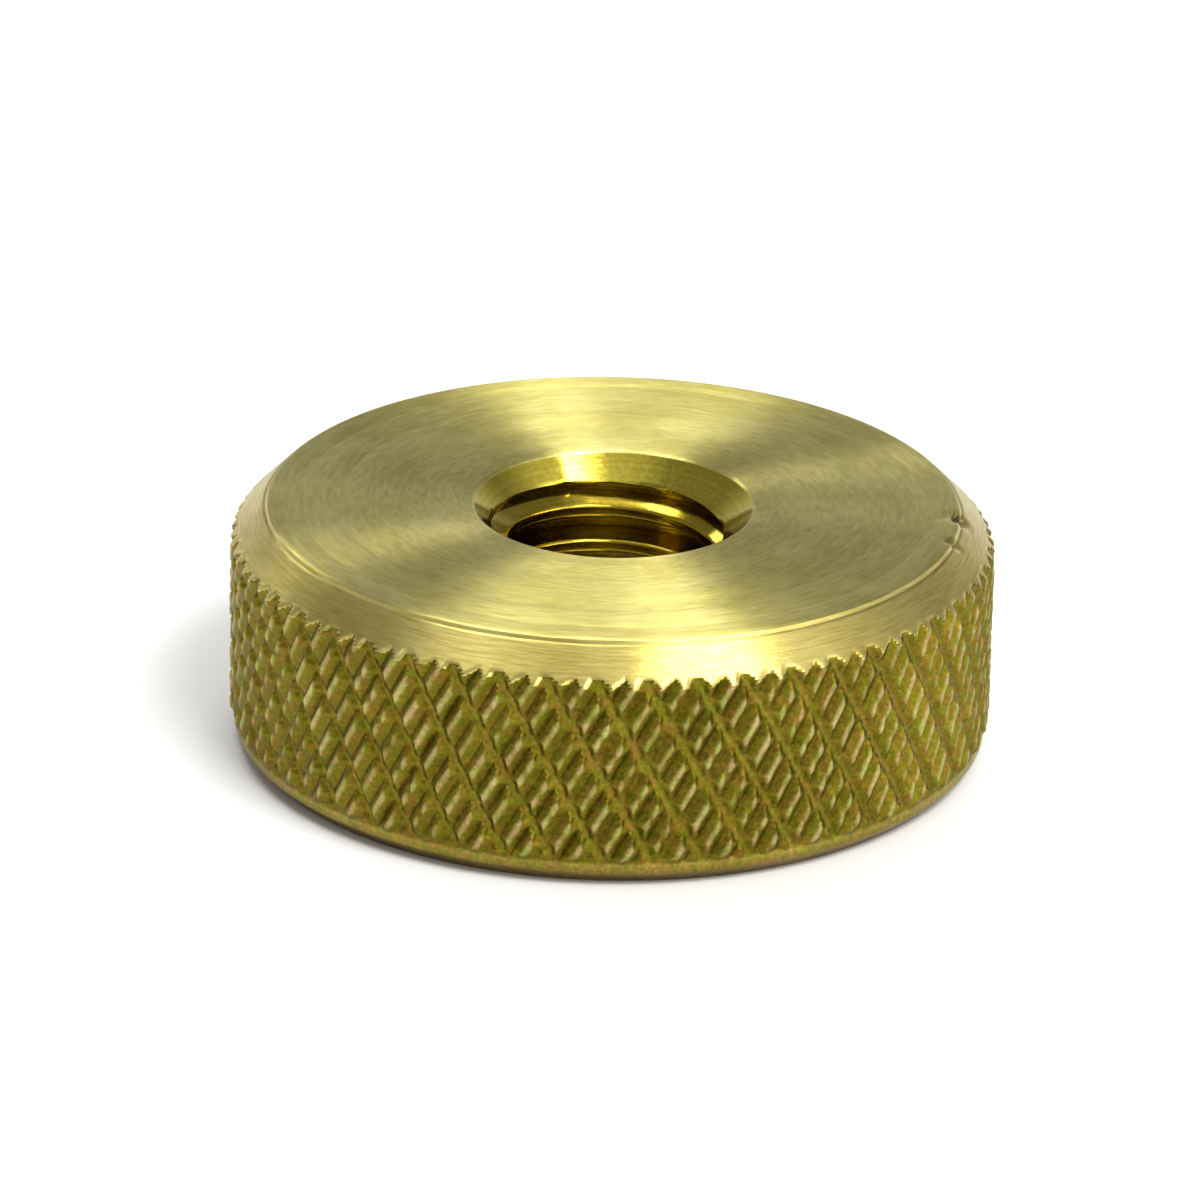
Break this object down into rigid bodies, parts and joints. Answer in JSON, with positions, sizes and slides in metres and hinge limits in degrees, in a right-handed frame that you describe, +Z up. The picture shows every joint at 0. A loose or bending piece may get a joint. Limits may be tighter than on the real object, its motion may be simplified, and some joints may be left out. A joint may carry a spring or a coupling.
{
  "type": "knurled thumb nut",
  "caption": "Low round brass thumb nut with a diamond-knurled rim, bevelled outer edges and a countersunk, threaded through hole.",
  "frame": {"origin": "centre of the smooth bottom face, where the thread's axis meets it", "axes": "+Z up along the thread's axis, from the smooth bottom face to the knurled rim's bevelled top; +X to the right and +Y away from the viewer, as the nut was first seen"},
  "size_m": [0.025, 0.025, 0.0081],
  "materials": {
    "brass": "bare machined brass, satin turned faces and sharp-cut knurl"
  },
  "bodies": {
    "root": {"knurled_nut": "brass"}
  },
  "joints": []
}
